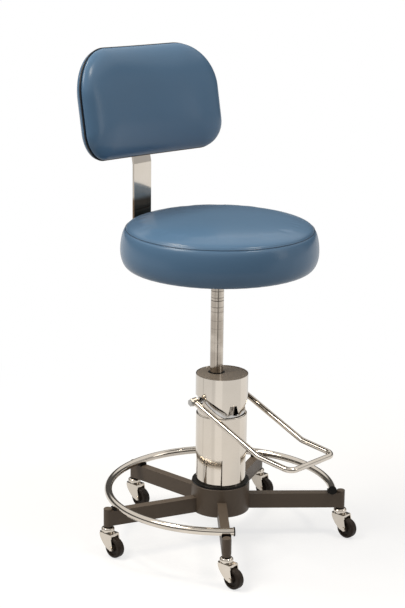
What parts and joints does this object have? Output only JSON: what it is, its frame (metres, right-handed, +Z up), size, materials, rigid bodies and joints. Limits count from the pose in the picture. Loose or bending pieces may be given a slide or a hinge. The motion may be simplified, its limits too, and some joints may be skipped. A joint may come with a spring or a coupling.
{
  "type": "medical stool",
  "caption": "Foot-operated hydraulic medical stool with a round padded seat, a curved padded backrest on a flat strap, a foot ring and a star base on casters.",
  "frame": {"origin": "on the floor, under the axis of the column covers", "axes": "+Z up, -Y the front, where the foot bar reaches out; the backrest stands at +Y"},
  "size_m": [0.5018, 0.5436, 1.0202],
  "materials": {
    "base_paint": "satin taupe paint",
    "cover_paint": "polished dark taupe",
    "chrome": "polished chrome plate",
    "steel": "machined steel",
    "iron": "dark cast iron",
    "bronze": "turned bronze",
    "black_rubber": "matte black rubber",
    "black_plastic": "matte black plastic",
    "wheel_rubber": "hard dark brown rubber",
    "vinyl": "soft blue vinyl with a slight sheen",
    "piping": "black vinyl piping",
    "plywood": "raw plywood"
  },
  "bodies": {
    "base": {"hub": "base_paint", "arms": "base_paint", "caster_sockets": "base_paint", "stem_bushings": "black_plastic", "caster_stems": "chrome", "base_plate": "iron", "hub_gasket": "black_rubber", "inner_sleeve": "chrome", "lower_sleeve": "chrome", "upper_cover": "chrome", "cover_plate": "cover_paint", "wiper_ring": "black_rubber", "cylinder_barrel": "steel", "gland": "bronze", "oil_seal": "black_rubber", "pump_cylinder": "steel", "pump_spring": "steel", "pivot_bearing": "steel", "foot_ring": "chrome", "ring_end_caps": "black_plastic", "ring_pads": "black_plastic", "ring_screws": "steel"},
    "ram": {"ram": "chrome", "piston": "bronze", "piston_seal": "black_rubber"},
    "seat": {"swivel_bush": "bronze", "seat_hub": "iron", "seat_plate": "iron", "seat_board": "plywood", "seat_cushion": "vinyl", "seat_bolts": "steel", "strap_channel": "iron"},
    "depth_knob": {"depth_knob": "black_plastic"},
    "back_arm": {"strap": "chrome"},
    "back": {"back_cushion": "vinyl", "back_welt": "piping", "back_shell": "vinyl", "back_bracket": "iron", "back_screws": "steel"},
    "height_knob": {"height_knob": "black_plastic"},
    "foot_bar": {"foot_bar": "chrome", "yoke": "steel", "pivot_pins": "steel", "pivot_nuts": "steel"},
    "plunger": {"plunger": "steel"},
    "caster_1": {"caster_fork_1": "chrome", "caster_axle_1": "steel"},
    "wheel_1": {"caster_wheel_1": "wheel_rubber"},
    "caster_2": {"caster_fork_2": "chrome", "caster_axle_2": "steel"},
    "wheel_2": {"caster_wheel_2": "wheel_rubber"},
    "caster_3": {"caster_fork_3": "chrome", "caster_axle_3": "steel"},
    "wheel_3": {"caster_wheel_3": "wheel_rubber"},
    "caster_4": {"caster_fork_4": "chrome", "caster_axle_4": "steel"},
    "wheel_4": {"caster_wheel_4": "wheel_rubber"},
    "caster_5": {"caster_fork_5": "chrome", "caster_axle_5": "steel"},
    "wheel_5": {"caster_wheel_5": "wheel_rubber"}
  },
  "joints": [
    {"name": "ram_lift", "type": "slide", "parent": "base", "child": "ram", "axis": [0, 0, 1], "range_m": [-0.18, 0.01]},
    {"name": "seat_swivel", "type": "hinge", "parent": "ram", "child": "seat", "pos_m": [0, 0.0161, 0.57], "axis": [0, 0, 1], "continuous": true},
    {"name": "depth_knob_turn", "type": "hinge", "parent": "seat", "child": "depth_knob", "pos_m": [0, 0.1, 0.57], "axis": [0, 0, 1], "continuous": true},
    {"name": "back_depth", "type": "slide", "parent": "seat", "child": "back_arm", "axis": [0, 1, 0], "range_m": [-0.003, 0.04]},
    {"name": "back_height", "type": "slide", "parent": "back_arm", "child": "back", "axis": [0, 0.2011, 0.9796], "range_m": [-0.04, 0.025]},
    {"name": "height_knob_turn", "type": "hinge", "parent": "back", "child": "height_knob", "pos_m": [0, 0.27257, 0.88862], "axis": [0, 0.9796, -0.2011], "continuous": true},
    {"name": "foot_bar_tilt", "type": "hinge", "parent": "base", "child": "foot_bar", "pos_m": [0, 0.0149, 0.3118], "axis": [1, 0, 0], "range_deg": [0, 18], "stiffness_Nm_per_rad": 3, "springref_deg": -28.65},
    {"name": "plunger_stroke", "type": "slide", "parent": "base", "child": "plunger", "axis": [0, 0, -1], "range_m": [0, 0.018], "deforming": ["pump_spring"]},
    {"name": "caster_swivel_1", "type": "hinge", "parent": "base", "child": "caster_1", "pos_m": [0.18081, -0.18081, 0.05], "axis": [0, 0, 1], "continuous": true},
    {"name": "wheel_spin_1", "type": "hinge", "parent": "caster_1", "child": "wheel_1", "pos_m": [0.18081, -0.20081, 0.0213], "axis": [1, 0, 0], "continuous": true},
    {"name": "caster_swivel_2", "type": "hinge", "parent": "base", "child": "caster_2", "pos_m": [0.23624, 0.09785, 0.05], "axis": [0, 0, 1], "continuous": true},
    {"name": "wheel_spin_2", "type": "hinge", "parent": "caster_2", "child": "wheel_2", "pos_m": [0.23624, 0.07785, 0.0213], "axis": [1, 0, 0], "continuous": true},
    {"name": "caster_swivel_3", "type": "hinge", "parent": "base", "child": "caster_3", "pos_m": [0, 0.2557, 0.05], "axis": [0, 0, 1], "continuous": true},
    {"name": "wheel_spin_3", "type": "hinge", "parent": "caster_3", "child": "wheel_3", "pos_m": [0, 0.2357, 0.0213], "axis": [1, 0, 0], "continuous": true},
    {"name": "caster_swivel_4", "type": "hinge", "parent": "base", "child": "caster_4", "pos_m": [-0.23624, 0.09785, 0.05], "axis": [0, 0, 1], "continuous": true},
    {"name": "wheel_spin_4", "type": "hinge", "parent": "caster_4", "child": "wheel_4", "pos_m": [-0.23624, 0.07785, 0.0213], "axis": [1, 0, 0], "continuous": true},
    {"name": "caster_swivel_5", "type": "hinge", "parent": "base", "child": "caster_5", "pos_m": [-0.18081, -0.18081, 0.05], "axis": [0, 0, 1], "continuous": true},
    {"name": "wheel_spin_5", "type": "hinge", "parent": "caster_5", "child": "wheel_5", "pos_m": [-0.18081, -0.20081, 0.0213], "axis": [1, 0, 0], "continuous": true}
  ],
  "couplings": [
    {"joint": "plunger_stroke", "follows": "foot_bar_tilt", "m_per_rad": 0.0545}
  ]
}
